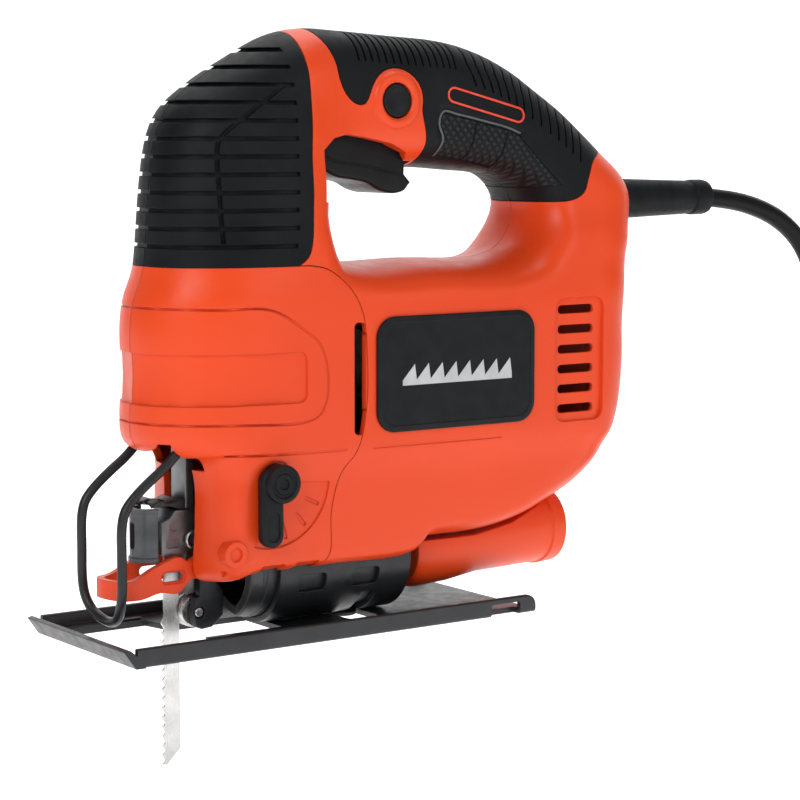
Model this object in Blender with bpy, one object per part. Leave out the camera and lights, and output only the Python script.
"""Corded jigsaw with a D-handle, quick blade clamp, pendulum roller and tilting shoe.

Every size below is in millimetres; obj_from() writes metres. The front of the tool looks
along -X, the cord leaves along +X, the tool's left side is -Y. The origin is the centre of
the shoe's sole, so Z is the height above the work.
"""
import math

import bmesh
import bpy
import numpy as np
from mathutils import Matrix
from mathutils.geometry import delaunay_2d_cdt

MM = 0.001
GAP = 0.3                    # clearance between pieces that touch
SIDES = 24                   # flats round a turned piece

# Shoe and bevel cradle
SHOE_LENGTH = 166.0
SHOE_WIDTH = 70.0
SHOE_FRONT = -84.0
SHOE_SHEET = 2.0
SHOE_RAIL_HEIGHT = 6.6
LIP_LEAN = 4.0
BLADE_GAP_LENGTH = 64.0
BLADE_GAP_WIDE = 33.0        # length of the wide part, where the tilted blade passes
BLADE_GAP_HALF = 24.8
BLADE_GAP_NECK = 12.0
BEVEL_AXIS_Z = 23.5
BARREL_RADIUS = 18.8
CRADLE_SHEET = 2.0
CRADLE_FRONT = -19.0
CRADLE_LENGTH = 55.0
BEVEL_SCREW_X = 20.0

# Housing
BODY_HALF = 31.0
WALL = 2.6
CORE_WALL = 4.6
RUBBER = 2.0
ROUNDING = 2.25              # power of the rounded edge: 2 is an ellipse, more is squarer

# Motor and gear
MOTOR_Z = 80.0
MODULE = 1.0
PINION_TEETH = 9
GEAR_TEETH = 38
GEAR_X = -33.0
GEAR_WIDTH = 7.0
CRANK_RADIUS = 9.0
SHAFT_RADIUS = 3.5
FIELD_RADIUS = 25.0
FIELD_BORE = 17.0
AIR_GAP = 0.8
THIN_SHAFT = 2.4
COMMUTATOR_RADIUS = 9.5
FRONT_BEARING = 9.5
REAR_BEARING = 8.0
FIELD_X = 24.0
FIELD_LENGTH = 46.0
FAN_RADIUS = 23.0
FAN_X = 0.0

# Plunger, clamp and blade
PLUNGER_X = -47.4
PLUNGER_DEPTH = 3.6
PLUNGER_WIDTH = 9.6
PLUNGER_BOTTOM = 16.0
PLUNGER_TOP = 150.0
BLADE_WIDTH = 7.0
BLADE_THICK = 1.0
BLADE_TIP = -44.0
BLADE_TOP = 40.0
TOOTH_PITCH = 3.3
TOOTH_DEPTH = 1.2
ROLLER_RADIUS = 5.7
ROLLER_GROOVE = 4.5
ROLLER_Z = 9.5
LEVER_PIVOT = (-44.6, 26.0)
LEVER_PIN = 1.7
ARM_PIVOT = (-39.4, 52.0)
ARM_PIN = 2.0

# Cord
CORD_RADIUS = 3.75
FLOOR_Z = -46.0
COIL_CENTRE = (314.0, -29.0)
COIL_OUTER = 48.0
COIL_INNER = 33.0
COIL_HEIGHT = 22.5
COIL_LIFT = 1.5
CORD_ROUTE = [(194.4, 0, 148.3), (206, 0, 147.4), (221, 0, 144.4), (236, 0, 138.6),
              (249, 0, 128), (258, 1, 111), (261.5, 2, 88), (261.8, 2, 60), (261.8, 2, 32),
              (261.8, 1, 8), (261.8, -2, -11), (261.8, -9, -28), (261.8, -19, -38.6),
              (261.8, -28.5, -42.2)]

# Rim of the housing seen from the side: x, z, then how far in the edge rounding reaches.
RIM = [
    (-47.0, 22.4, 9, 3), (-47.5, 40, 10, 0), (-47.5, 55, 12, 0), (-51, 63.5, 24, 3),
    (-60, 65.3, 37, 4), (-65.3, 71, 45, 3), (-65.0, 92, 46, 0), (-65.3, 108, 46, 0),
    (-64, 117, 45, 0), (-60, 128, 41, 0), (-58.1, 150, 38, 0), (-55.3, 171, 33, -4),
    (-50.2, 182, 27, -8), (-41, 190, 20, -12), (-23, 201, 12, -19), (-10, 207.5, 6, -22),
    (2, 210, 2, -23), (16, 209.6, 0, -22), (38, 208.3, 0, -21), (60, 206.8, -2, -20),
    (74.4, 203.6, -5, -19.5), (88.5, 197.9, -8, -17.5), (102, 189.9, -10, -16),
    (112.7, 183.1, -11, -14.5), (122.6, 175.5, -13, -12.5), (133, 167, -15, -10),
    (142.5, 158.5, -19, -6), (146.5, 149, -22, -2), (143, 138, -20, 0),
    (139.5, 122, -21, 0), (138, 105, -22, 0), (138, 88, -22, 0), (135, 68, -21, 4),
    (127, 52, -18, 8), (115, 42.5, -14, 10), (100, 36, -8, 10), (84, 31, -3, 9),
    (66, 28.3, 0, 8), (48, 28, 0, 8), (40, 27.8, 0, 7), (35, 23, -1, 6),
    (0, 22.4, 0, 5), (-30, 22.4, 0, 5),
]
HAND_HOLE = [
    (8, 132, -9, -9), (18, 128.6, -4, -11), (48, 128.8, 0, -11), (79, 128.6, 1, -11),
    (90.5, 132.5, 7, -9), (96.3, 141, 12, -3), (96.5, 149, 12, 3), (91.5, 155, 8.5, 5.5),
    (82, 158.8, 4, 9.5), (66, 160.3, 1, 12), (48, 161.5, 0, 14), (28, 161, 0, 15),
    (13, 158.5, -2, 16), (6.5, 151, -10, 8), (5.5, 141, -12, 0),
]
COLUMN_HALF = [(22, BODY_HALF - 5), (29, BODY_HALF - 3), (56, BODY_HALF - 2.7), (65, BODY_HALF),
               (118, BODY_HALF), (131, BODY_HALF - 1.5), (150, BODY_HALF - 3.5),
               (172, BODY_HALF - 6), (192, BODY_HALF - 9), (212, BODY_HALF - 12)]
GRIP_HALF = [(22, BODY_HALF - 5), (29, BODY_HALF - 3), (56, BODY_HALF - 2.7), (65, BODY_HALF),
             (114, BODY_HALF), (131, BODY_HALF - 3), (150, BODY_HALF - 9),
             (166, BODY_HALF - 11.5), (212, BODY_HALF - 11.5)]
COLUMN_BLEND = (-12.0, 16.0)

# Lines that divide the housing, seen from the side
NOSE_SEAM = [(-8.8, 10), (-8.8, 23.8), (-3.6, 29), (-3.0, 44), (0.3, 56), (7.2, 67), (10, 80),
             (10.2, 98), (8.6, 112), (3, 122), (-5, 127.6), (-12, 129)]
NOSE_TOP = 129.0
NOSE_GRIP_EDGE = [(-17, 129), (-12.6, 132), (-10.4, 138), (-8.2, 165), (-6.6, 190), (-6, 215)]
HANDLE_GRIP_FRONT = [(0, 214), (4.6, 204), (6.3, 197.5), (6.9, 192.4), (9.5, 187.2),
                     (14, 183.9), (17.6, 184)]
HANDLE_GRIP_UNDER = [(44.4, 170), (43.6, 164), (42, 154)]
HANDLE_GRIP_REAR = [(74, 149.3), (108, 149.3), (114, 152), (117.2, 158), (121, 163.6),
                    (128, 167), (137, 171)]
TRIGGER_POCKET = [(-2.4, 150), (-2.2, 168), (3.1, 172), (9.4, 173.3), (17.6, 172.3),
                  (29.5, 170.1), (37, 167), (40, 161.6), (39, 157), (39, 150)]
TRIGGER_HALF = 11.5
TRIGGER_TRAVEL = 4.0
LOCK_CENTRE = (31.0, 185.0)
LOCK_RADIUS = 6.0
LOCK_RING = 10.6
LEVER_CENTRE = (-26.7, 56.2)
LEVER_HUB = 6.6
SCREWS = [(-4, 118), (122, 125), (114, 60), (58, 41)]
SCREW_RADIUS = 1.7
SCREW_HEAD = 3.2
BOOT_Z = 149.0
VENTS = 6
VENT_FOOT = 71.5
VENT_PITCH = 7.3
VENT_HEIGHT = 3.2


def clear_scene():
    """Empty the file so the model is all there is."""
    for obj in list(bpy.data.objects):
        bpy.data.objects.remove(obj, do_unlink=True)


def finish_of(name, colour, roughness, metallic=0.0):
    """One Principled material."""
    mat = bpy.data.materials.new(name)
    mat.use_nodes = True
    shader = mat.node_tree.nodes["Principled BSDF"]
    shader.inputs["Base Color"].default_value = (*colour, 1.0)
    shader.inputs["Roughness"].default_value = roughness
    shader.inputs["Metallic"].default_value = metallic
    mat.diffuse_color = (*colour, 1.0)
    return mat


def obj_from(verts, faces, name="tool"):
    """A closed mesh from millimetre points, its faces turned outward."""
    bm = bmesh.new()
    points = [bm.verts.new([c * MM for c in v]) for v in verts]
    for face in faces:
        bm.faces.new([points[i] for i in face])
    bmesh.ops.recalc_face_normals(bm, faces=bm.faces)
    mesh = bpy.data.meshes.new(name)
    bm.to_mesh(mesh)
    bm.free()
    obj = bpy.data.objects.new(name, mesh)
    bpy.context.scene.collection.objects.link(obj)
    return obj


def guide(obj):
    """Mark a tool body that shapes others and isn't a piece itself."""
    obj.hide_render = True
    obj.display_type = "WIRE"
    return obj


def boolean(obj, tool, operation):
    """Cut, join or keep. A thin shell needs the manifold solver, the rest the exact one."""
    guide(tool)
    mod = obj.modifiers.new(operation.lower(), "BOOLEAN")
    mod.operation = operation
    mod.solver = "MANIFOLD" if obj.name.startswith("shell") else "EXACT"
    mod.object = tool
    return obj


def cut(obj, *tools):
    """Take each tool's shape out of obj."""
    for tool in tools:
        boolean(obj, tool, "DIFFERENCE")
    return obj


def join(obj, *tools):
    """Add each tool's shape to obj."""
    for tool in tools:
        boolean(obj, tool, "UNION")
    return obj


def keep(obj, tool):
    """Keep only what lies inside the tool."""
    return boolean(obj, tool, "INTERSECT")


def piece(name, obj, finish, sharp=35.0):
    """Name a finished piece, give it its material and smooth its round faces."""
    obj.name = name
    obj.data.name = name
    obj.hide_render = False
    obj.display_type = "TEXTURED"
    obj.data.materials.append(finish)
    if obj.type == "MESH":
        obj.data.shade_smooth()
        obj.data.set_sharp_from_angle(angle=math.radians(sharp))
    return obj


def place(axis, along, a, b):
    """A point from its distance along an axis and its two other coordinates."""
    if axis == "X":
        return (along, a, b)
    if axis == "Y":
        return (a, along, b)
    return (a, b, along)


def block(lo, hi):
    """A box between two corners."""
    corners = [(x, y, z) for x in (lo[0], hi[0]) for y in (lo[1], hi[1]) for z in (lo[2], hi[2])]
    faces = [(0, 1, 3, 2), (4, 6, 7, 5), (0, 4, 5, 1), (2, 3, 7, 6), (0, 2, 6, 4), (1, 5, 7, 3)]
    return obj_from(corners, faces)


def turned(axis, centre, profile, sides=SIDES, ring=False):
    """A turned solid. profile lists (along, radius); ring joins its end to its start."""
    verts, rows = [], []
    for along, radius in profile:
        count = 1 if radius == 0 else sides
        rows.append(list(range(len(verts), len(verts) + count)))
        for i in range(count):
            turn = 2 * math.pi * i / sides
            a = centre[0] + radius * math.cos(turn)
            b = centre[1] + radius * math.sin(turn)
            verts.append(place(axis, along, a, b))
    faces = []
    pairs = list(zip(rows, rows[1:])) + ([(rows[-1], rows[0])] if ring else [])
    for one, two in pairs:
        for i in range(sides):
            j = (i + 1) % sides
            quad = [one[i % len(one)], one[j % len(one)], two[j % len(two)], two[i % len(two)]]
            face = list(dict.fromkeys(quad))
            if len(face) > 2:
                faces.append(face)
    return obj_from(verts, faces)


def rod(axis, centre, radius, start, end, sides=SIDES):
    """A plain round bar."""
    return turned(axis, centre, [(start, 0), (start, radius), (end, radius), (end, 0)], sides)


def tube(axis, centre, inner, outer, start, end, sides=SIDES):
    """A round bar with a bore."""
    profile = [(start, inner), (start, outer), (end, outer), (end, inner)]
    return turned(axis, centre, profile, sides, ring=True)


def prism(outline, axis, start, end):
    """An outline in the other two axes, extruded along axis."""
    count = len(outline)
    verts = [place(axis, start, a, b) for a, b in outline]
    verts += [place(axis, end, a, b) for a, b in outline]
    faces = [tuple(range(count)), tuple(range(2 * count - 1, count - 1, -1))]
    for i in range(count):
        j = (i + 1) % count
        faces.append((i, j, count + j, count + i))
    return obj_from(verts, faces)


def arc(centre, radius, start, end, steps):
    """Points along an arc, in degrees."""
    turns = [math.radians(start + (end - start) * i / steps) for i in range(steps + 1)]
    return [(centre[0] + radius * math.cos(t), centre[1] + radius * math.sin(t)) for t in turns]


def capsule(x0, x1, z0, z1, steps=4):
    """A rectangle with round corners as large as fit."""
    radius = min(x1 - x0, z1 - z0) / 2 - 0.01
    points = []
    corners = [(x1 - radius, z1 - radius, 0), (x0 + radius, z1 - radius, 90),
               (x0 + radius, z0 + radius, 180), (x1 - radius, z0 + radius, 270)]
    for x, z, turn in corners:
        points += arc((x, z), radius, turn, turn + 90, steps)
    return points


def rounded(x0, x1, z0, z1, radius, steps=4):
    """A rectangle with round corners."""
    points = []
    corners = [(x1 - radius, z1 - radius, 0), (x0 + radius, z1 - radius, 90),
               (x0 + radius, z0 + radius, 180), (x1 - radius, z0 + radius, 270)]
    for x, z, turn in corners:
        points += arc((x, z), radius, turn, turn + 90, steps)
    return points


def spline(stations, spacing, closed=True):
    """A smooth curve through the stations (centripetal Catmull-Rom), evenly sampled."""
    pts = np.array(stations, float)
    count = len(pts)
    if not closed:
        pts = np.vstack([2 * pts[0] - pts[1], pts, 2 * pts[-1] - pts[-2]])
    out = []
    for i in range(count if closed else count - 1):
        if closed:
            p = [pts[(i + k - 1) % count] for k in range(4)]
        else:
            p = [pts[i + k] for k in range(4)]
        knots = [0.0]
        for k in range(3):
            knots.append(knots[-1] + max(np.linalg.norm((p[k + 1] - p[k])[:3]), 1e-6) ** 0.5)
        steps = max(1, int(round(np.linalg.norm((p[2] - p[1])[:3]) / spacing)))
        for s in range(steps):
            t = knots[1] + (knots[2] - knots[1]) * s / steps
            out.append(catmull(p, knots, t))
    if not closed:
        out.append(pts[-2])
    return np.array(out)


def catmull(p, knots, t):
    """Barry and Goldman's form of one Catmull-Rom span."""
    k0, k1, k2, k3 = knots
    a1 = (k1 - t) / (k1 - k0) * p[0] + (t - k0) / (k1 - k0) * p[1]
    a2 = (k2 - t) / (k2 - k1) * p[1] + (t - k1) / (k2 - k1) * p[2]
    a3 = (k3 - t) / (k3 - k2) * p[2] + (t - k2) / (k3 - k2) * p[3]
    b1 = (k2 - t) / (k2 - k0) * a1 + (t - k0) / (k2 - k0) * a2
    b2 = (k3 - t) / (k3 - k1) * a2 + (t - k1) / (k3 - k1) * a3
    return (k2 - t) / (k2 - k1) * b1 + (t - k1) / (k2 - k1) * b2


def eased(value, keys):
    """Read a list of (at, size) keys with smooth steps between them."""
    value = np.asarray(value, float)
    out = np.full(value.shape, float(keys[0][1]))
    for (a, low), (b, high) in zip(keys, keys[1:]):
        t = np.clip((value - a) / (b - a), 0, 1)
        out = out + (high - low) * t * t * (3 - 2 * t)
    return out


def half_width(x, z):
    """Half the housing's width where its side is full."""
    t = np.clip((x - COLUMN_BLEND[0]) / (COLUMN_BLEND[1] - COLUMN_BLEND[0]), 0, 1)
    t = t * t * (3 - 2 * t)
    return eased(z, COLUMN_HALF) * (1 - t) + eased(z, GRIP_HALF) * t


def inside(points, loop):
    """Which points lie inside a closed loop."""
    x, z = points[:, 0], points[:, 1]
    result = np.zeros(len(points), bool)
    a, b = loop, np.roll(loop, -1, axis=0)
    for (x0, z0), (x1, z1) in zip(a, b):
        if z0 == z1:
            continue
        crosses = ((z0 > z) != (z1 > z)) & (x < (x1 - x0) * (z - z0) / (z1 - z0) + x0)
        result ^= crosses
    return result


def offset(loop, amount, outward):
    """Shift a loop's points square to it by amount."""
    ahead = np.roll(loop[:, :2], -1, axis=0) - np.roll(loop[:, :2], 1, axis=0)
    ahead /= np.linalg.norm(ahead, axis=1)[:, None]
    normal = np.stack([ahead[:, 1], -ahead[:, 0]], axis=1) * outward
    return loop[:, :2] + normal * np.asarray(amount)[:, None]


def skin(rims, depth_of, width_of, steps, grid, skirt):
    """One side's surface: rows rounding in from each rim, then a plateau.

    rims lists (loop, outward); depth_of(z) is how far below the outer surface it runs.
    A skirt carries the rim on past the middle, for a tool that cuts right through it.
    Returns the points as (x, z, height), the faces and each rim's own points.
    """
    verts, faces, edges_of_rims, plateaus = [], [], [], []
    for loop, outward in rims:
        start = offset(loop, -depth_of(loop[:, 1]), outward)
        goal = loop[:, :2] + loop[:, 2:4]
        rows = []
        if skirt:
            rows.append(list(range(len(verts), len(verts) + len(start))))
            verts += [(x, z, -skirt) for x, z in start]
        for t in steps:
            at = start + (goal - start) * t
            full = width_of(at[:, 0], at[:, 1]) - depth_of(at[:, 1])
            height = full * (1 - (1 - t) ** ROUNDING) ** (1 / ROUNDING)
            rows.append(list(range(len(verts), len(verts) + len(at))))
            verts += [(x, z, h) for (x, z), h in zip(at, height)]
        for one, two in zip(rows, rows[1:]):
            for i in range(len(one)):
                j = (i + 1) % len(one)
                faces.append((one[i], one[j], two[j], two[i]))
        edges_of_rims.append(rows[0])
        plateaus.append(rows[-1])
    faces += plateau(verts, plateaus, depth_of, width_of, grid)
    return verts, faces, edges_of_rims


def plateau(verts, loops, depth_of, width_of, grid):
    """Fill the full-width area between the rims with triangles over an even grid."""
    rims = [np.array([verts[i][:2] for i in loop]) for loop in loops]
    lo, hi = rims[0].min(axis=0), rims[0].max(axis=0)
    xs = np.arange(lo[0] + grid / 2, hi[0], grid)
    zs = np.arange(lo[1] + grid / 2, hi[1], grid)
    spots = np.array([(x, z) for x in xs for z in zs])
    good = inside(spots, rims[0])
    for hole in rims[1:]:
        good &= ~inside(spots, hole)
    spots = spots[good]
    edge = np.vstack(rims)
    away = np.min(np.linalg.norm(spots[:, None] - edge[None], axis=2), axis=1)
    spots = spots[away > grid * 0.6]
    index = [i for loop in loops for i in loop]
    full = width_of(spots[:, 0], spots[:, 1]) - depth_of(spots[:, 1])
    for (x, z), h in zip(spots, full):
        index.append(len(verts))
        verts.append((x, z, h))
    flat = [verts[i][:2] for i in index]
    edges, base = [], 0
    for loop in loops:
        count = len(loop)
        edges += [(base + i, base + (i + 1) % count) for i in range(count)]
        base += count
    found = delaunay_2d_cdt(flat, edges, [], 1, 1e-7)
    if len(found[0]) != len(flat):
        raise ValueError("the rounding of the rims crosses itself")
    faces = []
    for tri in found[2]:
        ids = [found[3][i][0] for i in tri]
        middle = np.mean([flat[i] for i in ids], axis=0)[None]
        outside = any(inside(middle, hole)[0] for hole in rims[1:])
        if inside(middle, rims[0])[0] and not outside:
            faces.append(tuple(index[i] for i in ids))
    return faces


def half_shell(side, rims, outer, inner, width_of=half_width, grid=14.0,
               steps=(0, 0.08, 0.35, 1), inner_steps=(0, 0.3, 1), skirt=0.0):
    """One half of a moulding, between two depths below the nominal surface."""
    verts, faces, rims_out = skin(rims, outer, width_of, steps, grid, skirt)
    deep, deep_faces, rims_in = skin(rims, inner, width_of, inner_steps, grid * 1.4, skirt)
    base = len(verts)
    for one, two in zip(rims_out, rims_in):
        for i in range(len(one)):
            j = (i + 1) % len(one)
            faces.append((one[i], one[j], base + two[j], base + two[i]))
    faces += [tuple(base + i for i in face) for face in deep_faces]
    points = [(x, side * (h + GAP / 2), z) for x, z, h in verts + deep]
    return obj_from(points, faces, "shell")


def flat_depth(amount):
    """The same depth everywhere."""
    return lambda z: np.full(np.shape(z), float(amount))


def shell_depth(z):
    """The housing's wall: thin round the motor, deeper where rubber covers it."""
    return eased(z, [(NOSE_TOP - 9, WALL), (NOSE_TOP, CORE_WALL)])


def housing_rims(spacing=8.0):
    """The outer rim and the hand hole of the housing."""
    return [(spline(RIM, spacing), -1), (spline(HAND_HOLE, spacing), -1)]


def region(points, grow, spacing=4.0):
    """A closed outline grown outward by grow, to divide the housing with."""
    loop = np.array(points, float)
    area = np.sum(loop[:, 0] * np.roll(loop[:, 1], -1) - np.roll(loop[:, 0], -1) * loop[:, 1])
    if area < 0:
        loop = loop[::-1]
    return [tuple(p) for p in offset(loop, np.full(len(loop), float(grow)), 1)]


def nose_region(grow):
    """Front cover: ahead of the seam and below the rubber."""
    seam = [tuple(p) for p in spline(NOSE_SEAM, 5.0, closed=False)]
    return region(seam + [(-90, NOSE_TOP), (-90, 10)], grow)


def nose_grip_region(grow):
    """Ribbed rubber over the head."""
    edge = [tuple(p) for p in spline(NOSE_GRIP_EDGE, 6.0, closed=False)]
    return region(edge + [(-90, 215), (-90, NOSE_TOP + GAP)], grow)


def handle_grip_region(grow):
    """Rubber round the handle."""
    round_ring = arc(LOCK_CENTRE, LOCK_RING + 3 * GAP, 154, -14, 6)
    edge = HANDLE_GRIP_FRONT + round_ring + HANDLE_GRIP_UNDER
    front = [tuple(p) for p in spline(edge, 6.0, closed=False)]
    rear = [tuple(p) for p in spline(HANDLE_GRIP_REAR, 6.0, closed=False)]
    return region(front + rear + [(137, 216)], grow)


def make_finishes():
    """Every material of the tool, by name."""
    return {
        "orange": finish_of("orange_plastic", (0.86, 0.09, 0.03), 0.38),
        "rubber": finish_of("black_rubber", (0.016, 0.018, 0.021), 0.62),
        "black": finish_of("black_plastic", (0.02, 0.021, 0.023), 0.45),
        "dark_steel": finish_of("blackened_steel", (0.03, 0.033, 0.037), 0.42, 0.6),
        "steel": finish_of("bright_steel", (0.72, 0.72, 0.70), 0.28, 1.0),
        "copper": finish_of("copper", (0.75, 0.32, 0.16), 0.35, 1.0),
        "iron": finish_of("laminated_iron", (0.22, 0.22, 0.23), 0.5, 0.8),
        "zinc": finish_of("zinc_casting", (0.33, 0.34, 0.35), 0.48, 0.8),
        "brass": finish_of("brass", (0.75, 0.55, 0.25), 0.35, 1.0),
    }


def side_of(side):
    """The word for a side: the tool's left is -Y."""
    return "left" if side < 0 else "right"


def skin_tool(side, rims, shape, grow):
    """What a rubber skin takes out of the moulding under it."""
    body = half_shell(side, rims, flat_depth(-1.0), flat_depth(RUBBER + GAP), skirt=3.0)
    return keep(body, prism(shape(grow), "Y", -60, 60))


def make_grips(rims, finishes):
    """Four rubber skins: two over the head, two round the handle."""
    for side in (-1, 1):
        for part, shape in (("nose", nose_grip_region), ("handle", handle_grip_region)):
            body = half_shell(side, rims, flat_depth(0), flat_depth(RUBBER))
            keep(body, prism(shape(0), "Y", -60, 60))
            if part == "handle":
                cut(body, trigger_pocket(0.0), trigger_well())
            piece(f"{part}_grip_{side_of(side)}", body, finishes["rubber"])


def trigger_pocket(grow):
    """The opening in the handle that the trigger works in."""
    return prism(region(TRIGGER_POCKET, grow), "Y", -60, 60)


def trigger_well():
    """The room inside the handle that the trigger rises into."""
    well = [(-2.0, 150), (-2.0, 183), (42.0, 183), (42.0, 150)]
    return prism(well, "Y", -TRIGGER_HALF - 0.6, TRIGGER_HALF + 0.6)


def vent_tools(side):
    """Air slots at the back, one above the other."""
    tools = []
    for row in range(VENTS):
        z = VENT_FOOT + row * VENT_PITCH
        tools.append(prism(capsule(95.4, 112.1, z, z + VENT_HEIGHT, 2), "Y", side * 20, side * 40))
    return tools


def screw_boss_tools(side, x, z):
    """The boss that a housing screw runs in, and the hole through it."""
    wall = float(half_width(np.array([x]), np.array([z]))[0])
    boss = rod("Y", (x, z), SCREW_HEAD + 1.4, side * GAP / 2, side * (wall - WALL / 2), 12)
    depth = wall - 9 if side < 0 else wall + 2
    tools = [rod("Y", (x, z), SCREW_RADIUS + GAP, -side, side * depth, 12)]
    if side > 0:
        tools.append(rod("Y", (x, z), SCREW_HEAD + GAP, wall - 6, wall + 2, 12))
    return boss, tools


def make_housing(rims, finishes):
    """Motor housing halves with the handle core, and the front cover halves."""
    for side in (-1, 1):
        word = side_of(side)
        whole = half_shell(side, rims, flat_depth(0), shell_depth)
        cut(whole, skin_tool(side, rims, nose_grip_region, GAP),
            skin_tool(side, rims, handle_grip_region, GAP), trigger_pocket(0.0), trigger_well())
        cut(whole, bevel_clearance(), boot_hole(), duct_clearance())
        cut(whole, prism(nose_region(GAP), "Y", -60, 60), *vent_tools(side))
        cut(whole, prism(capsule(6.5, 10.2, 69.5, 109, 2), "Y", side * 20, side * 40))
        for x, z in SCREWS[1:]:
            boss, holes = screw_boss_tools(side, x, z)
            join(whole, boss)
            cut(whole, *holes)
        if side < 0:
            join(whole, rod("Y", LOCK_CENTRE, LOCK_RING, 10.4 - BODY_HALF, -13.5))
            cut(whole, rod("Y", LOCK_CENTRE, LOCK_RADIUS + GAP, -30, -8))
        piece(f"housing_{word}", whole, finishes["orange"])
        nose = half_shell(side, rims, flat_depth(0), shell_depth)
        keep(nose, prism(nose_region(0), "Y", -60, 60))
        cut(nose, bevel_clearance(), *nose_openings())
        boss, holes = screw_boss_tools(side, *SCREWS[0])
        join(nose, boss)
        cut(nose, *holes)
        if side < 0:
            cut(nose, rod("Y", LEVER_CENTRE, 4.0, -BODY_HALF - 9, -14, 16),
                rod("Y", LEVER_CENTRE, LEVER_HUB + 0.8, -BODY_HALF - 9, 1.4 - BODY_HALF))
        piece(f"nose_cover_{word}", nose, finishes["orange"])


def bevel_clearance():
    """Round recess under the housing that the cradle swings in."""
    radius = BARREL_RADIUS + GAP + CRADLE_SHEET + 1.2
    return rod("X", (0, BEVEL_AXIS_Z), radius, CRADLE_FRONT - 12, CRADLE_FRONT + CRADLE_LENGTH + 3, 32)


def boot_hole():
    """Round hole in the back of the handle for the cable boot."""
    return turned("X", (0, BOOT_Z), [(125, 0), (125, 13), (137, 13), (137, 8.4), (160, 8.4), (160, 0)])


def duct_clearance():
    """Room under the motor for the dust duct."""
    return block((37.4, -10, 20), (110, 10, 34))


def nose_openings():
    """Underside hole for plunger and guard, and the front slot for the roller arm."""
    under = block((-62, -16.5, 60), (-34, 16.5, 70))
    slot = block((-60, -10.5, 10), (-29.5, 10.5, 62))
    return [under, slot]


def make_screws(finishes):
    """Pan-head screws that close the halves, driven from the right."""
    for number, (x, z) in enumerate(SCREWS, 1):
        wall = float(half_width(np.array([x]), np.array([z]))[0])
        seat = wall - 6 + 0.2
        profile = [(-10, 0), (-10, SCREW_RADIUS), (seat, SCREW_RADIUS), (seat, SCREW_HEAD),
                   (seat + 1.8, SCREW_HEAD - 0.5), (seat + 1.8, 1.2), (seat + 0.8, 1.0),
                   (seat + 0.8, 0)]
        piece(f"housing_screw_{number}", turned("Y", (x, z), profile, 12), finishes["dark_steel"])


def make_duct(finishes):
    """Orange dust duct under the motor, open at the back."""
    outer = duct_body()
    bore = rod("X", (0, 24.0), 10.5, 60, 130, 20)
    piece("dust_duct", cut(outer, bore), finishes["orange"])


def duct_body():
    """The duct: a rounded section swept along X and trimmed to the housing's underside."""
    stations = [(41.5, 24.4, 15.6, 19.0), (48, 23.9, 15.8, 19.4), (60, 24.2, 15.4, 19.6),
                (74, 25.4, 14.6, 19.2), (92, 25.6, 14.4, 18.0), (108, 25.8, 14.4, 17.0),
                (111.5, 25.8, 13.2, 15.6)]
    verts, faces, count = [], [], 20
    for x, z, tall, wide in stations:
        for i in range(count):
            turn = 2 * math.pi * i / count
            verts.append((x, wide * math.cos(turn), z + tall * math.sin(turn)))
    for row in range(len(stations) - 1):
        for i in range(count):
            j = (i + 1) % count
            a, b = row * count, (row + 1) * count
            faces.append((a + i, a + j, b + j, b + i))
    faces.append(tuple(range(count)))
    faces.append(tuple(range(len(verts) - 1, len(verts) - count - 1, -1)))
    top = [(30, 27.7), (66, 27.8), (84, 30.4), (100, 35.4), (118, 43), (118, 70), (30, 70)]
    return cut(obj_from(verts, faces), prism(top, "Y", -40, 40))


def make_badges(finishes):
    """Plain black plates let onto the motor sides."""
    for side in (-1, 1):
        face = side * (BODY_HALF + GAP)
        plate = prism(rounded(14, 83, 70, 110.5, 8.0), "Y", face, face + side)
        piece(f"badge_{side_of(side)}", plate, finishes["black"])


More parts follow.
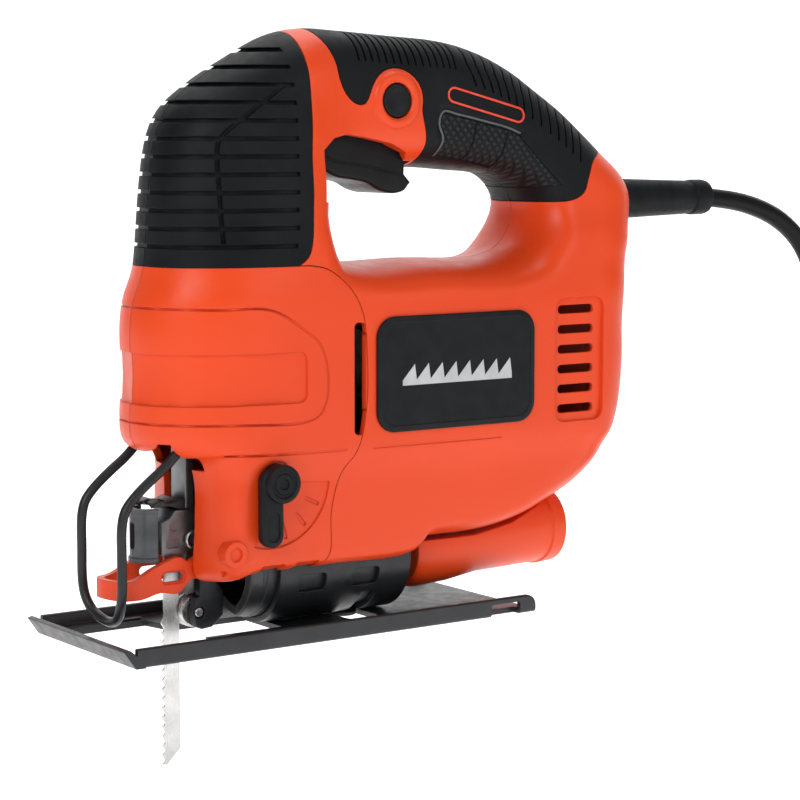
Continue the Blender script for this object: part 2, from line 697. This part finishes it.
def make_motor(finishes):
    """Universal motor: field, armature, commutator, fan, bearings and brushes."""
    hub = (0, MOTOR_Z)
    bore = SHAFT_RADIUS + GAP
    field = tube("X", hub, FIELD_BORE, FIELD_RADIUS, FIELD_X, FIELD_X + FIELD_LENGTH)
    piece("motor_field", field, finishes["iron"])
    core = tube("X", hub, bore, FIELD_BORE - AIR_GAP, FIELD_X + 2, FIELD_X + FIELD_LENGTH - 2)
    piece("armature_core", core, finishes["iron"])
    end = FIELD_X + FIELD_LENGTH
    ring = tube("X", hub, bore, COMMUTATOR_RADIUS, end + 4, end + 18)
    piece("commutator", ring, finishes["copper"])
    nose, step, tail = GEAR_X - 2, GEAR_X + 9, end + 36
    outline = [(nose, 0), (nose, THIN_SHAFT), (step, THIN_SHAFT), (step, SHAFT_RADIUS),
               (tail, SHAFT_RADIUS), (tail, 0)]
    piece("armature_shaft", turned("X", hub, outline), finishes["steel"])
    teeth = gear("X", hub, PINION_TEETH, THIN_SHAFT + GAP, GEAR_X - 1, GEAR_X + 8, PINION_TEETH / 4)
    piece("pinion", teeth, finishes["steel"])
    make_fan(hub, bore, finishes)
    bearings = (("front_bearing", -20.0, FRONT_BEARING), ("rear_bearing", 96.0, REAR_BEARING))
    for name, start, outer in bearings:
        piece(name, tube("X", hub, bore, outer, start, start + 6), finishes["steel"])
    across = BODY_HALF - 7
    plate = prism(rounded(-across, across, 58, 128, 14.0), "X", -20.0, -14.0)
    cut(plate, rod("X", hub, FRONT_BEARING + GAP, -30, 0))
    cut(plate, rod("X", (0, gear_z()), 3.0 + GAP, -30, 0))
    piece("bearing_plate", plate, finishes["zinc"])
    carrier = tube("X", hub, REAR_BEARING + GAP, across, 96.0, 102.0)
    piece("rear_bearing_carrier", carrier, finishes["black"])
    for side in (-1, 1):
        near = side * (COMMUTATOR_RADIUS + 0.7)
        holder = block((end + 5, near, MOTOR_Z - 5), (end + 16, side * across, MOTOR_Z + 5))
        piece(f"brush_holder_{side_of(side)}", holder, finishes["brass"])


def make_fan(hub, bore, finishes):
    """Cooling fan: a disc with straight blades."""
    tip, root, thick, count = FAN_RADIUS - 1, 8.0, 1.0, 9
    outline = []
    for i in range(count):
        middle = 2 * math.pi * i / count
        for radius, across in ((root, -thick), (tip, -thick), (tip, thick), (root, thick)):
            turn = middle + math.asin(across / radius)
            outline.append((hub[0] + radius * math.cos(turn), hub[1] + radius * math.sin(turn)))
    fan = prism(outline, "X", FAN_X, FAN_X + 10.5)
    join(fan, rod("X", hub, FAN_RADIUS, FAN_X + 10, FAN_X + 12))
    cut(fan, rod("X", hub, bore, FAN_X - 5, FAN_X + 20))
    piece("fan", fan, finishes["black"])


def gear_z():
    """Height of the gear's axle: one centre distance above the motor."""
    return MOTOR_Z + MODULE * (PINION_TEETH + GEAR_TEETH) / 2 + GAP


def gear(axis, centre, teeth, bore, start, end, phase):
    """A spur gear with plain tapered teeth; phase is in teeth from +Y."""
    pitch = MODULE * teeth / 2
    tip, root = pitch + 0.8 * MODULE, pitch - 1.05 * MODULE
    outline = []
    for i in range(teeth):
        for share, radius in ((-0.33, root), (-0.11, tip), (0.11, tip), (0.33, root)):
            turn = 2 * math.pi * (i + phase + share) / teeth
            outline.append((centre[0] + radius * math.cos(turn), centre[1] + radius * math.sin(turn)))
    body = prism(outline, axis, start, end)
    return cut(body, rod(axis, centre, bore, start - 5, end + 5, 12))


def make_gear_train(finishes):
    """Drive gear with its crank pin, on a fixed axle."""
    hub = (0, gear_z())
    phase = 0.5 - GEAR_TEETH / 4
    wheel = gear("X", hub, GEAR_TEETH, 3.0 + GAP, GEAR_X, GEAR_X + GEAR_WIDTH, phase)
    piece("drive_gear", wheel, finishes["steel"])
    pin = rod("X", (0, gear_z() - CRANK_RADIUS), 2.8, GEAR_X - 2.3, GEAR_X - GAP, 16)
    piece("crank_pin", pin, finishes["steel"])
    piece("gear_axle", rod("X", hub, 3.0, GEAR_X, -14, 16), finishes["steel"])


def make_plunger(finishes):
    """Plunger bar, its yoke and the two guides it slides in."""
    back = PLUNGER_X + PLUNGER_DEPTH
    half = PLUNGER_WIDTH / 2
    bar = block((PLUNGER_X, -half, PLUNGER_BOTTOM), (back, half, PLUNGER_TOP))
    piece("plunger", bar, finishes["zinc"])
    pin_z = gear_z() - CRANK_RADIUS
    yoke = block((back + GAP, -15.5, pin_z - 6.5), (GEAR_X - 3, 15.5, pin_z + 6.5))
    cut(yoke, prism(capsule(-12.5, 12.5, pin_z - 3.3, pin_z + 3.3), "X", -50, -30))
    piece("yoke", yoke, finishes["steel"])
    for name, z, height in (("lower_guide", 68.4, 9.0), ("upper_guide", 120.0, 8.0)):
        guide_block = block((PLUNGER_X - 2.6, -8.4, z), (back + 4.5, 8.4, z + height))
        hole = block((PLUNGER_X - 0.4, -half - 0.4, z - 5), (back + 0.4, half + 0.4, z + 20))
        piece(name, cut(guide_block, hole), finishes["brass"])


def make_blade(finishes):
    """Jigsaw blade with its teeth forward and a slanted tip."""
    back = PLUNGER_X - GAP
    front = back - BLADE_WIDTH
    count = int((6 - BLADE_TIP) / TOOTH_PITCH)
    outline = [(front, BLADE_TIP + 0.4)]
    for i in range(count):
        z = BLADE_TIP + 0.6 + i * TOOTH_PITCH
        outline += [(front + TOOTH_DEPTH, z + TOOTH_PITCH * 0.35), (front, z + TOOTH_PITCH)]
    outline += [(front + TOOTH_DEPTH, z + TOOTH_PITCH + 2), (front + TOOTH_DEPTH, BLADE_TOP),
                (back, BLADE_TOP), (back, BLADE_TIP + 5.4), (front + 1.6, BLADE_TIP)]
    piece("blade", prism(outline, "Y", -BLADE_THICK / 2, BLADE_THICK / 2), finishes["steel"])


def make_clamp(finishes):
    """Tool-free blade clamp: body, shield, spring, orange lever and its pins."""
    half = 6.2
    body = block((-58.5, -half, 30), (PLUNGER_X + PLUNGER_DEPTH, half, 46))
    cut(body, block((PLUNGER_X - GAP, -PLUNGER_WIDTH / 2 - GAP, 20), (-40, PLUNGER_WIDTH / 2 + GAP, 60)))
    cut(body, block((-56, -0.8, 20), (-40, 0.8, BLADE_TOP + GAP)))
    piece("clamp_body", body, finishes["dark_steel"])
    centre = (-59.0, 0.0)
    outline = arc(centre, 6.6, 90, 270, 10) + arc(centre, 5.0, 270, 90, 10)
    shield = prism(outline, "Z", 28.5, 47)
    cut(shield, block((-70, -1.6, 33), (-60, 1.6, 42)))
    piece("clamp_shield", shield, finishes["dark_steel"])
    coil = tube("Y", (PLUNGER_X + 1.8, 35.5), 2.5, 3.5, -8.6, -6.6, 16)
    piece("clamp_spring", coil, finishes["dark_steel"])
    make_clamp_lever(finishes)


def make_clamp_lever(finishes):
    """Orange bail: two arms on a cross pin, joined by a round nose."""
    pivot = LEVER_PIVOT
    tip = -78.0
    outer, inner = 9.4, 6.9
    arms = [(pivot[0] + 3.4, -outer)] + arc((tip + outer, 0), outer, 270, 90, 10)
    arms += [(pivot[0] + 3.4, outer), (pivot[0] + 3.4, inner)]
    arms += arc((tip + 2.6 + inner, 0), inner, 90, 270, 10) + [(pivot[0] + 3.4, -inner)]
    lever = prism(arms, "Z", 5, 45)
    side = [(tip - 2, 18.6), (-68, 17.0), (-60, 18.6), (-53, 17.8), (-47.6, 22), (-42.4, 22.6),
            (-40.6, 26), (-42.4, 29.4), (-46.4, 29.4), (-49, 28.2), (-52, 30.2), (-62, 27.4),
            (-70, 23.8), (tip - 2, 23.4)]
    keep(lever, prism(side, "Y", -20, 20))
    cut(lever, rod("Y", pivot, LEVER_PIN + GAP, -20, 20, 16))
    slot = prism(capsule(-59.0, -50.4, 21.8, 25.2), "Y", -20, 20)
    cut(lever, slot)
    piece("clamp_lever", lever, finishes["orange"])
    pin = rod("Y", pivot, LEVER_PIN, -outer - 1, outer + 1, 16)
    bar = bpy.data.objects["plunger"]
    cut(bar, rod("Y", pivot, LEVER_PIN + GAP, -20, 20, 16))
    piece("clamp_pivot_pin", pin, finishes["steel"])


def make_roller(finishes):
    """Pendulum arm behind the blade, carrying the grooved guide roller."""
    centre = (PLUNGER_X + ROLLER_GROOVE, ROLLER_Z)
    front = PLUNGER_X + PLUNGER_DEPTH + 1.2
    side = [(front, 56), (front, 15.2), (centre[0] - 1.5, 14.6), (centre[0] - 2.5, 4),
            (centre[0] + 5, 3.6), (-33.2, 8), (-33.2, 16), (-36, 20), (-36, 56)]
    arm = prism(side, "Y", -6.4, 6.4)
    cut(arm, block((-55, -3.2, 0), (-36.4, 3.2, 16.2)))
    cut(arm, rod("Y", centre, 1.8 + GAP, -20, 20, 12))
    cut(arm, rod("Y", ARM_PIVOT, ARM_PIN + GAP, -20, 20, 12))
    piece("roller_arm", arm, finishes["black"])
    groove, rim = ROLLER_GROOVE - GAP, ROLLER_RADIUS
    profile = [(-2.8, 2.1), (-2.8, rim), (-1.0, rim), (-0.8, groove), (0.8, groove), (1.0, rim),
               (2.8, rim), (2.8, 2.1)]
    piece("guide_roller", turned("Y", centre, profile, 24, ring=True), finishes["dark_steel"])
    piece("roller_axle", rod("Y", centre, 1.8, -6.3, 6.3, 12), finishes["steel"])
    reach = BODY_HALF * 0.66
    piece("arm_pivot_pin", rod("Y", ARM_PIVOT, ARM_PIN, -reach, reach, 12), finishes["steel"])


def make_orbit_lever(finishes):
    """Pendulum-action selector on the left side."""
    x, z = LEVER_CENTRE
    inner, outer, cap = 0.7 - BODY_HALF, -BODY_HALF - 3.6, -BODY_HALF - 5.2
    arm = prism(capsule(x - 7.6, x + 0.8, z - 21.6, z + 5.2, 5), "Y", outer, inner)
    join(arm, rod("Y", LEVER_CENTRE, LEVER_HUB, cap, inner + 0.3, 24))
    join(arm, rod("Y", LEVER_CENTRE, 4.0 - GAP, inner - 1, -BODY_HALF / 2, 16))
    piece("orbit_lever", arm, finishes["black"])


def make_trigger(finishes):
    """Two-finger trigger, lock-on button and the switch behind them."""
    roof = LOCK_CENTRE[1] - LOCK_RADIUS - TRIGGER_TRAVEL - 0.5
    top = [(0.6, 166.6), (1.4, roof), (40.8, roof), (40.4, 159)]
    wave = [(43.0, 156.4), (40.4, 153.4), (35.5, 152.4), (29.6, 153.6), (24.2, 156.2),
            (18, 157.4), (11.6, 158.4), (6.8, 160.6), (2.0, 163.4)]
    outline = top + [tuple(p) for p in spline(wave, 4.0, closed=False)]
    body = prism(outline, "Y", -TRIGGER_HALF, TRIGGER_HALF)
    piece("trigger", body, finishes["black"])
    button = rod("Y", LOCK_CENTRE, LOCK_RADIUS, 10.8 - BODY_HALF, -TRIGGER_HALF - 1)
    piece("lock_button", button, finishes["black"])
    piece("switch_body", block((44, -9, 172), (76, 9, 193)), finishes["black"])


def make_shoe(finishes):
    """Pressed steel shoe: web, side rails, leaning front lip and blade gap."""
    half = SHOE_WIDTH / 2
    rear = SHOE_FRONT + SHOE_LENGTH
    section = [(-half, 0), (half, 0), (half, SHOE_RAIL_HEIGHT), (half - SHOE_SHEET, SHOE_RAIL_HEIGHT),
               (half - SHOE_SHEET, SHOE_SHEET), (SHOE_SHEET - half, SHOE_SHEET),
               (SHOE_SHEET - half, SHOE_RAIL_HEIGHT), (-half, SHOE_RAIL_HEIGHT)]
    shoe = prism(section, "X", SHOE_FRONT + 1, rear)
    lip = [(SHOE_FRONT, 0), (SHOE_FRONT + 4, 0), (SHOE_FRONT + 4, SHOE_SHEET),
           (SHOE_FRONT + 2.6, SHOE_SHEET), (SHOE_FRONT + 2.4 - LIP_LEAN, SHOE_RAIL_HEIGHT),
           (SHOE_FRONT - LIP_LEAN, SHOE_RAIL_HEIGHT - 0.4)]
    join(shoe, prism(lip, "Y", -half, half))
    start = SHOE_FRONT + 7.0
    end = start + BLADE_GAP_LENGTH
    neck = start + BLADE_GAP_WIDE
    gap = [(start, -BLADE_GAP_HALF), (neck - 3, -BLADE_GAP_HALF), (neck, -BLADE_GAP_NECK),
           (end, -BLADE_GAP_NECK), (end, BLADE_GAP_NECK), (neck, BLADE_GAP_NECK),
           (neck - 3, BLADE_GAP_HALF), (start, BLADE_GAP_HALF)]
    cut(shoe, prism(gap, "Z", -5, 10))
    slot = capsule(BEVEL_SCREW_X - 6.5, BEVEL_SCREW_X + 6.5, -18.0, 18.0)
    cut(shoe, prism(slot, "Z", -5, 10))
    notch = prism(rounded(rear - 20, rear - 7, -5, 4.6, 0.8), "Y", -60, -half + 4)
    cut(shoe, notch)
    cut(shoe, prism(rounded(rear - 20, rear - 7, -5, 4.6, 0.8), "Y", half - 4, 60))
    cut(shoe, block((rear - 2.5, -half + SHOE_SHEET, -1), (rear + 1, half - SHOE_SHEET, 10)))
    piece("shoe_plate", shoe, finishes["dark_steel"])


def make_bevel(finishes):
    """Cradle on the shoe, the round foot it tilts on, and the screw that locks it."""
    axis = (0, BEVEL_AXIS_Z)
    end = CRADLE_FRONT + CRADLE_LENGTH
    inner = BARREL_RADIUS + GAP
    outer = inner + CRADLE_SHEET
    outline = arc(axis, outer, 176, 364, 20) + arc(axis, inner, 364, 176, 20)
    cradle = prism(outline, "X", CRADLE_FRONT, end)
    for x in (-11.2, 11.2):
        cut(cradle, block((x, -40, 14.8), (x + 11.4, -15, 21.2)))
        cut(cradle, block((x, 15, 14.8), (x + 11.4, 40, 21.2)))
    cut(cradle, block((BEVEL_SCREW_X - 3.3, -17.4, -5), (BEVEL_SCREW_X + 3.3, 17.4, 14)))
    piece("bevel_cradle", cradle, finishes["dark_steel"])
    barrel = tube("X", axis, BARREL_RADIUS - 3.6, BARREL_RADIUS, -29.5, end, 32)
    join(barrel, block((-12, -9, BEVEL_AXIS_Z + BARREL_RADIUS - 2), (20, 9, 52.5)))
    cut(barrel, block((-40, -8.5, 0), (-24, 8.5, 20)))
    cut(barrel, rod("Z", (BEVEL_SCREW_X, 0), 2.5 + GAP, -5, 20, 16))
    piece("bevel_barrel", barrel, finishes["zinc"])
    top = BEVEL_AXIS_Z - outer - GAP
    screw = [(top - 1.4, 0), (top - 1.4, 5.4), (top, 5.4), (top, 2.5), (12, 2.5), (12, 0)]
    piece("bevel_screw", turned("Z", (BEVEL_SCREW_X, 0), screw, 16), finishes["dark_steel"])


def make_guard(finishes):
    """Bent wire in front of the blade."""
    near = [(-56, -14.2, 66.4), (-60, -14.2, 62.6), (-66, -14.2, 58.2), (-72, -14.2, 53.2),
            (-75.6, -14.2, 49), (-77, -14.2, 44), (-77.2, -14.2, 32), (-77.2, -14.1, 22),
            (-77, -12.8, 16.5), (-76.2, -9.4, 12), (-75.4, -5, 9.8), (-75, 0, 9.0)]
    far = [(x, -y, z) for x, y, z in reversed(near[:-1])]
    piece("wire_guard", wire(near + far, 1.7, 5.0), finishes["dark_steel"])


def wire(route, radius, spacing, resolution=2):
    """A round bar along a smooth curve through the route, as a curve object."""
    points = spline(route, spacing, closed=False)
    curve = bpy.data.curves.new("wire", "CURVE")
    curve.dimensions = "3D"
    curve.bevel_depth = radius * MM
    curve.bevel_resolution = resolution
    curve.use_fill_caps = True
    line = curve.splines.new("POLY")
    line.points.add(len(points) - 1)
    for target, point in zip(line.points, points):
        target.co = (point[0] * MM, point[1] * MM, point[2] * MM, 1)
    obj = bpy.data.objects.new("wire", curve)
    bpy.context.scene.collection.objects.link(obj)
    return obj



def make_cord(finishes):
    """Boot, free cord, wound coil with its tie, and a two-blade plug on the coil."""
    boot = [(128, 0), (128, 11.5), (136.5, 11.5), (136.5, 7.9), (147, 7.8), (156, 7.5),
            (184.6, 6.6), (184.8, 6.9), (193, 6.9), (194, 6.3), (194, 0)]
    piece("cable_boot", turned("X", (0, BOOT_Z - 0.5), boot, 20), finishes["rubber"])
    piece("cord_lead", wire(CORD_ROUTE, CORD_RADIUS, 14.0), finishes["rubber"])
    foot = FLOOR_Z + COIL_LIFT
    top = foot + COIL_HEIGHT
    profile = [(foot, COIL_INNER + 2), (foot, COIL_OUTER - 2), (foot + 2, COIL_OUTER),
               (top - 2, COIL_OUTER), (top, COIL_OUTER - 2), (top, COIL_INNER + 2),
               (top - 2, COIL_INNER), (foot + 2, COIL_INNER)]
    piece("cord_coil", turned("Z", COIL_CENTRE, profile, 28, ring=True), finishes["rubber"])
    x, y = COIL_CENTRE
    hole = [(COIL_INNER - 1, foot - 0.8), (COIL_OUTER + 1, foot - 0.8), (COIL_OUTER + 1, top + 0.8),
            (COIL_INNER - 1, top + 0.8)]
    rim = [(COIL_INNER - 2, foot - 1.5), (COIL_OUTER + 2, foot - 1.5), (COIL_OUTER + 2, top + 1.6),
           (COIL_INNER - 2, top + 1.6)]
    tie = prism([(y - r, z) for r, z in rim], "X", x - 4, x + 4)
    cut(tie, prism([(y - r, z) for r, z in hole], "X", x - 8, x + 8))
    piece("cord_tie", tie, finishes["black"])
    make_plug(x + (COIL_INNER + COIL_OUTER) / 2, y, top + GAP, finishes)


def make_plug(x, y, z, finishes):
    """Moulded plug lying flat on the coil, blades toward +Y."""
    mid = z + 9.0
    body = [(-20, 7.0), (-12, 8.5), (8, 12.0), (16, 12.5), (18, 11.5), (18, -11.5), (16, -12.5),
            (8, -12.0), (-12, -8.5), (-20, -7.0)]
    shape = prism([(x + across, y + along) for along, across in body], "Z", z, z + 18)
    join(shape, rod("Y", (x, mid), 5.4, y - 30, y - 18, 16))
    piece("plug_body", shape, finishes["rubber"])
    for number, across in ((1, -6.4), (2, 6.4)):
        blade = block((x + across - 0.8, y + 18.3, mid - 3.1), (x + across + 0.8, y + 35, mid + 3.1))
        piece(f"plug_blade_{number}", blade, finishes["brass"])


def hang(names, point):
    """Put the origins of moving pieces on the axis they turn or slide about."""
    for name in names:
        obj = bpy.data.objects[name]
        obj.data.transform(Matrix.Translation([-v * MM for v in point]))
        obj.location = [v * MM for v in point]


def hang_moving_pieces():
    """Every moving piece gets its joint's axis as its origin."""
    hang(["armature_shaft", "armature_core", "commutator", "fan", "pinion"], (0, 0, MOTOR_Z))
    hang(["drive_gear", "crank_pin"], (GEAR_X, 0, gear_z()))
    hang(["plunger", "yoke", "blade", "clamp_body", "clamp_shield"], (PLUNGER_X, 0, PLUNGER_TOP))
    hang(["clamp_spring", "clamp_pivot_pin", "clamp_lever"], (LEVER_PIVOT[0], 0, LEVER_PIVOT[1]))
    hang(["roller_arm", "roller_axle"], (ARM_PIVOT[0], 0, ARM_PIVOT[1]))
    hang(["guide_roller"], (PLUNGER_X + ROLLER_GROOVE, 0, ROLLER_Z))
    hang(["orbit_lever"], (LEVER_CENTRE[0], -BODY_HALF, LEVER_CENTRE[1]))
    hang(["trigger"], (20, 0, LOCK_CENTRE[1]))
    hang(["lock_button"], (LOCK_CENTRE[0], 10.8 - BODY_HALF, LOCK_CENTRE[1]))
    hang(["shoe_plate", "bevel_cradle"], (0, 0, BEVEL_AXIS_Z))


def build():
    """Make every piece of the tool."""
    clear_scene()
    finishes = make_finishes()
    rims = housing_rims()
    make_housing(rims, finishes)
    make_grips(rims, finishes)
    make_screws(finishes)
    make_duct(finishes)
    make_badges(finishes)
    make_motor(finishes)
    make_gear_train(finishes)
    make_plunger(finishes)
    make_blade(finishes)
    make_clamp(finishes)
    make_roller(finishes)
    make_orbit_lever(finishes)
    make_trigger(finishes)
    make_shoe(finishes)
    make_bevel(finishes)
    make_guard(finishes)
    make_cord(finishes)
    hang_moving_pieces()


build()
